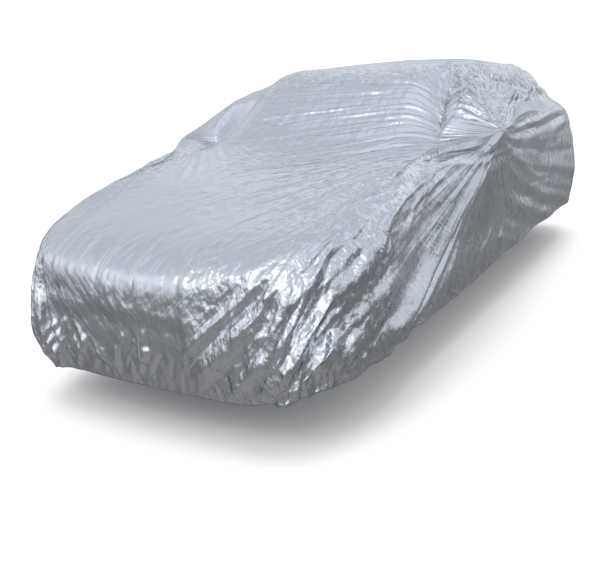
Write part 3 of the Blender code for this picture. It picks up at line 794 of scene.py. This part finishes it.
# %% [markdown]
# ## The hem
#
# The hem is the sheet's own edge turned in over elastic and sewn down, so it shows as a slightly thicker
# lip. A few rows are added past the edge as mirror images of the rows before it, one hem's thickness
# further in, and the lip swells out a little.

# %% Turning the hem in
HEM_ROWS = 3
HEM_THICK = 0.006
LIP_OUT = 0.003
LIP_LEVEL = 0.008
points = points + (LIP_OUT * np.exp(-(level / LIP_LEVEL) ** 2))[..., None] * grid_normals(points)
padding = ((HEM_ROWS, HEM_ROWS), (HEM_ROWS, HEM_ROWS))
outward = np.pad(grid_normals(points), padding + ((0, 0),), mode="reflect")
turned = np.pad(np.zeros_like(level), padding, mode="linear_ramp", end_values=1.0)
points = np.pad(points, padding + ((0, 0),), mode="reflect")
points = points - HEM_THICK * np.sqrt(turned)[..., None] * outward + PLACE
print("sheet spans", points.reshape(-1, 3).min(0).round(3), points.reshape(-1, 3).max(0).round(3))

# %% [markdown]
# ## Into Blender
#
# The grid is cut into bands from nose to tail, so that each mesh stays a fair size. The normals come from
# the whole grid, so the cuts between bands don't show.

# %% The bands of film
BANDS = ("nose_band", "bonnet_band", "cabin_band", "rear_window_band", "tail_band")
rows = points.shape[1]
cuts = np.linspace(0, rows - 1, len(BANDS) + 1).astype(int)
shading = grid_normals(points)
STORED = {"crumpled": np.pad(crumpled.reshape(level.shape), padding, mode="edge")}
MAPPED = {key: np.pad(values.reshape(*level.shape, 3), padding + ((0, 0),), mode="edge")
          for key, values in (("fan", fan), ("pull", pull))}


def band(name, first, last):
    """One mesh from the grid's rows first to last, both included."""
    part = points[:, first:last + 1]
    count = part.shape[0] * part.shape[1]
    index = np.arange(count).reshape(part.shape[:2])
    faces = np.stack([index[:-1, :-1], index[1:, :-1], index[1:, 1:], index[:-1, 1:]], -1).reshape(-1, 4)
    mesh = bpy.data.meshes.new(name)
    mesh.vertices.add(count)
    mesh.vertices.foreach_set("co", part.reshape(-1).astype(np.float32))
    mesh.loops.add(faces.size)
    mesh.loops.foreach_set("vertex_index", faces.reshape(-1).astype(np.int32))
    mesh.polygons.add(len(faces))
    mesh.polygons.foreach_set("loop_start", np.arange(0, faces.size, 4, dtype=np.int32))
    mesh.update(calc_edges=True)
    mesh.polygons.foreach_set("use_smooth", np.ones(len(faces), dtype=bool))
    for key, values in STORED.items():
        layer = mesh.attributes.new(key, "FLOAT", "POINT")
        layer.data.foreach_set("value", values[:, first:last + 1].reshape(-1).astype(np.float32))
    for key, values in MAPPED.items():
        layer = mesh.attributes.new(key, "FLOAT_VECTOR", "POINT")
        layer.data.foreach_set("vector", values[:, first:last + 1].reshape(-1).astype(np.float32))
    mesh.normals_split_custom_set_from_vertices(shading[:, first:last + 1].reshape(-1, 3).tolist())
    piece = bpy.data.objects.new(name, mesh)
    bpy.context.collection.objects.link(piece)
    return piece


bands = [band(name, cuts[i], cuts[i + 1]) for i, name in enumerate(BANDS)]
print([(piece.name, len(piece.data.polygons)) for piece in bands])

# %% [markdown]
# ## The film
#
# Metallised film is a thin layer of aluminium under clear plastic: nearly a mirror, blurred by creases far
# smaller than can be modelled. So it is a metal with a fairly low roughness that varies from place to
# place, and the creases between a millimetre and a few centimetres are bumps.

# %% The film's material
FILM_COLOUR = (0.82, 0.835, 0.855, 1.0)
film = bpy.data.materials.new("silver_film")
film.use_nodes = True
tree = film.node_tree
shader = tree.nodes["Principled BSDF"]
shader.inputs["Base Color"].default_value = FILM_COLOUR
shader.inputs["Metallic"].default_value = 1.0


def node(kind, **settings):
    """A new shader node with its settings and, by name, its input values."""
    made = tree.nodes.new(kind)
    for key, value in settings.items():
        if key in made.inputs:
            made.inputs[key].default_value = value
        else:
            setattr(made, key, value)
    return made


def calculate(operation, first, second):
    """A Math node; each input is a number or another node's output."""
    made = node("ShaderNodeMath", operation=operation)
    for place, value in enumerate((first, second)):
        if isinstance(value, (int, float)):
            made.inputs[place].default_value = value
        else:
            tree.links.new(value, made.inputs[place])
    return made.outputs[0]


SEED_SLANT = 1.7
SECOND_ACROSS, SECOND_ALONG = 11.3, 7.9


def nearest_in_shader(places, scale, offset, dimensions):
    """Squared distance to the nearest of a set of points, the shader's own form of nearest_square."""
    moved = node("ShaderNodeMapping", Location=offset)
    moved.inputs["Scale"].default_value = scale
    tree.links.new(places, moved.inputs["Vector"])
    cells = node("ShaderNodeTexVoronoi", feature="F1", voronoi_dimensions=dimensions, Scale=1.0)
    tree.links.new(moved.outputs["Vector"], cells.inputs["Vector"])
    return calculate("MULTIPLY", cells.outputs["Distance"], cells.outputs["Distance"])


def creases(places, sizes, slope, seed, dimensions="3D"):
    """Facets of the given sizes and slope in the shader, in heights. The seed moves both sets of points,
    and the second set is moved on from the first."""
    scale = [1.0 / size for size in sizes]
    across_by, along_by = seed, SEED_SLANT * seed
    first = nearest_in_shader(places, scale, (across_by, along_by, 0.0), dimensions)
    moved_on = (across_by + SECOND_ACROSS, along_by + SECOND_ALONG, 0.0)
    second = nearest_in_shader(places, scale, moved_on, dimensions)
    return calculate("MULTIPLY", calculate("SUBTRACT", first, second), 0.5 * slope * min(sizes))


def total(outputs):
    """The sum of several outputs."""
    result = outputs[0]
    for output in outputs[1:]:
        result = calculate("ADD", result, output)
    return result


# each row is the facets' sizes in metres and their slope: for crumpled film all round, and for tension
# folds across the pull and along it
CRUMPLES = (
    ((0.055, 0.055, 0.090), 0.26),
    ((0.026, 0.026, 0.042), 0.22),
    ((0.012, 0.012, 0.018), 0.14),
)
TENSION_FOLDS = (
    ((0.026, 0.30, 1.0), 0.17),
    ((0.012, 0.12, 1.0), 0.14),
)
CRUMPLE_SEED = 3.1
TENSION_SEED, TENSION_NEXT = 5.3, 2.9
# even smooth film is crumpled a little
CRUMPLED_EVERYWHERE = 0.05
coordinates = node("ShaderNodeTexCoord").outputs["Object"]
crumpled_there = node("ShaderNodeAttribute", attribute_name="crumpled").outputs["Fac"]
crumples = total([creases(coordinates, sizes, slope, CRUMPLE_SEED * number)
                  for number, (sizes, slope) in enumerate(CRUMPLES)])
parts = [calculate("MULTIPLY", crumples, calculate("ADD", crumpled_there, CRUMPLED_EVERYWHERE))]
for key in MAPPED:
    places = node("ShaderNodeAttribute", attribute_name=key).outputs["Vector"]
    drawn = total([creases(places, sizes, slope, TENSION_SEED + TENSION_NEXT * number, "2D")
                   for number, (sizes, slope) in enumerate(TENSION_FOLDS)])
    weight = node("ShaderNodeSeparateXYZ")
    tree.links.new(places, weight.inputs["Vector"])
    parts.append(calculate("MULTIPLY", drawn, weight.outputs["Z"]))
height = total(parts)
bump = node("ShaderNodeBump", Distance=1.0, Strength=1.0)
tree.links.new(height, bump.inputs["Height"])
tree.links.new(bump.outputs["Normal"], shader.inputs["Normal"])

# the roughness varies between two values as a cloudy noise varies between its own
ROUGHNESS = (0.16, 0.25)
NOISE_RANGE = (0.3, 0.7)
haze = node("ShaderNodeTexNoise", Scale=6.0, Detail=4.0, Roughness=0.6)
tree.links.new(coordinates, haze.inputs["Vector"])
rough = node("ShaderNodeMapRange")
for key, value in zip(("From Min", "From Max", "To Min", "To Max"), (*NOISE_RANGE, *ROUGHNESS)):
    rough.inputs[key].default_value = value
tree.links.new(haze.outputs["Fac"], rough.inputs["Value"])
tree.links.new(rough.outputs["Result"], shader.inputs["Roughness"])
for piece in bands:
    piece.data.materials.append(film)
print("film material with", len(tree.nodes), "nodes")

# %% [markdown]
# ## Floor and light
#
# Outdoors the film mirrors a pale sky above and dark ground below, which is what gives it its look. Here
# the surroundings do the same: pale overhead, darker towards the ground, plain and pale where they are
# seen directly. A wide soft light hangs over the cover.

# %% Floor, surroundings and light
GROUND = PLACE[2]
FLOOR_SIZE = 60
FLOOR_COLOUR = (0.93, 0.93, 0.93, 1)
FLOOR_ROUGHNESS = 0.9
bpy.ops.mesh.primitive_plane_add(size=FLOOR_SIZE, location=(0, 0, GROUND))
floor = bpy.context.object
floor.name = "floor"
floor.visible_glossy = False
pale = bpy.data.materials.new("pale_floor")
pale.use_nodes = True
matt = pale.node_tree.nodes["Principled BSDF"]
matt.inputs["Base Color"].default_value = FLOOR_COLOUR
matt.inputs["Roughness"].default_value = FLOOR_ROUGHNESS
floor.data.materials.append(pale)

world = bpy.data.worlds.new("surroundings")
bpy.context.scene.world = world
world.use_nodes = True
sky = world.node_tree
sky.nodes.clear()
direction = sky.nodes.new("ShaderNodeTexCoord")
split = sky.nodes.new("ShaderNodeSeparateXYZ")
sky.links.new(direction.outputs["Generated"], split.inputs["Vector"])


def ramp(axis, stops):
    """A colour for each value from -1 to 1 of the mirrored ray's direction along an axis."""
    share = sky.nodes.new("ShaderNodeMapRange")
    share.inputs["From Min"].default_value = -1.0
    share.inputs["From Max"].default_value = 1.0
    sky.links.new(split.outputs[axis], share.inputs["Value"])
    made = sky.nodes.new("ShaderNodeValToRGB")
    elements = made.color_ramp.elements
    for count, (place, *colour) in enumerate(stops):
        position = 0.5 + 0.5 * place
        stop = elements[count] if count < 2 else elements.new(position)
        stop.position = position
        stop.color = (*colour, 1.0)
    sky.links.new(share.outputs["Result"], made.inputs["Fac"])
    return made.outputs["Color"]


# sine of the height above the horizon, then red, green and blue
SKY = (
    (-1.00, 0.26, 0.26, 0.26),
    (-0.50, 0.150, 0.152, 0.157),
    (-0.15, 0.180, 0.185, 0.195),
    (0.06, 0.34, 0.36, 0.39),
    (0.28, 0.54, 0.575, 0.63),
    (0.46, 0.66, 0.70, 0.78),
    (0.74, 0.49, 0.53, 0.60),
    (0.90, 0.58, 0.63, 0.71),
    (1.00, 0.74, 0.79, 0.88),
)
# how much brighter it is behind the camera and far ahead, by how far ahead the mirrored ray points
BRIGHTEST = 1.5
AHEAD = ((-0.90, 1.00), (-0.20, 0.72), (0.60, 0.66), (0.84, 0.92))
# the strength of the white that the camera sees and the floor is lit by
SEEN_DIRECTLY = 1.3
mirrored = sky.nodes.new("ShaderNodeBackground")
sky.links.new(ramp("Z", SKY), mirrored.inputs["Color"])
glow = ramp("Y", [(place, strength, strength, strength) for place, strength in AHEAD])
boosted = sky.nodes.new("ShaderNodeMath")
boosted.operation = "MULTIPLY"
boosted.inputs[1].default_value = BRIGHTEST
sky.links.new(glow, boosted.inputs[0])
sky.links.new(boosted.outputs[0], mirrored.inputs["Strength"])
seen = sky.nodes.new("ShaderNodeBackground")
seen.inputs["Strength"].default_value = SEEN_DIRECTLY
seen.inputs["Color"].default_value = (1, 1, 1, 1)
ray = sky.nodes.new("ShaderNodeLightPath")
choose = sky.nodes.new("ShaderNodeMixShader")
plain = sky.nodes.new("ShaderNodeMath")
plain.operation = "MAXIMUM"
sky.links.new(ray.outputs["Is Camera Ray"], plain.inputs[0])
sky.links.new(ray.outputs["Is Diffuse Ray"], plain.inputs[1])
sky.links.new(plain.outputs[0], choose.inputs["Fac"])
sky.links.new(mirrored.outputs["Background"], choose.inputs[1])
sky.links.new(seen.outputs["Background"], choose.inputs[2])
final = sky.nodes.new("ShaderNodeOutputWorld")
sky.links.new(choose.outputs["Shader"], final.inputs["Surface"])


def area_lamp(name, size, power, place, turned):
    """A rectangular soft light of a size in metres and a power in watts."""
    light = bpy.data.lights.new(name, "AREA")
    light.shape = "RECTANGLE"
    light.size, light.size_y = size
    light.energy = power
    lamp = bpy.data.objects.new(name, light)
    lamp.location = place
    lamp.rotation_euler = [math.radians(angle) for angle in turned]
    bpy.context.collection.objects.link(lamp)
    return lamp


softbox = area_lamp("softbox", (5.0, 7.0), 200, (0, 0, 3.2), (0, 0, 0))
softbox.visible_glossy = False
key = area_lamp("key", (9.0, 4.0), 90, (1.0, -8.5, 5.2), (58, 0, 6))
bpy.context.scene.view_settings.view_transform = "Standard"
print("floor at", round(GROUND, 3), "key light at", tuple(key.location))

# %% [markdown]
# ## Camera
#
# A phone held at head height, about four metres off the front left corner and tilted a little.

# %% The camera
CAMERA_AT = (2.144, -4.990, 0.003)
TURNED_LEFT = 31.4
TILTED_DOWN = 18.4
ROLLED = -3.6
LENS = 43.87
SENSOR = 36
SHIFT = (-0.0204, 0.0400)
azimuth, dip, roll = (math.radians(angle) for angle in (TURNED_LEFT, TILTED_DOWN, ROLLED))
ahead = np.array((-math.sin(azimuth) * math.cos(dip), math.cos(azimuth) * math.cos(dip), -math.sin(dip)))
level_right = np.array((math.cos(azimuth), math.sin(azimuth), 0.0))
level_up = np.cross(level_right, ahead)
right = math.cos(roll) * level_right + math.sin(roll) * level_up
up = -math.sin(roll) * level_right + math.cos(roll) * level_up
view = np.eye(4)
view[:3, 0], view[:3, 1], view[:3, 2], view[:3, 3] = right, up, -ahead, CAMERA_AT
lens = bpy.data.cameras.new("camera")
lens.sensor_width = SENSOR
lens.lens = LENS
lens.shift_x, lens.shift_y = SHIFT
camera = bpy.data.objects.new("camera", lens)
camera.matrix_world = view.T.tolist()
bpy.context.collection.objects.link(camera)
bpy.context.scene.camera = camera
print("camera looks", ahead.round(3))

# %% [markdown]
# ## In place of the imported cover
#
# The bands stand for the one imported node. Flat, every band is as wide as the cover is from hem to hem over
# the roof, and as long as its own share of the film, with the slack in its folds pulled out.

FLAT_LENGTHS = (0.93, 0.66, 0.99, 0.93, 0.70)
for piece, flat_length in zip(bands, FLAT_LENGTHS):
    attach(piece, "root")
    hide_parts("cover")
    print(piece.name, round(sum(face.area for face in piece.data.polygons), 2), "m2")
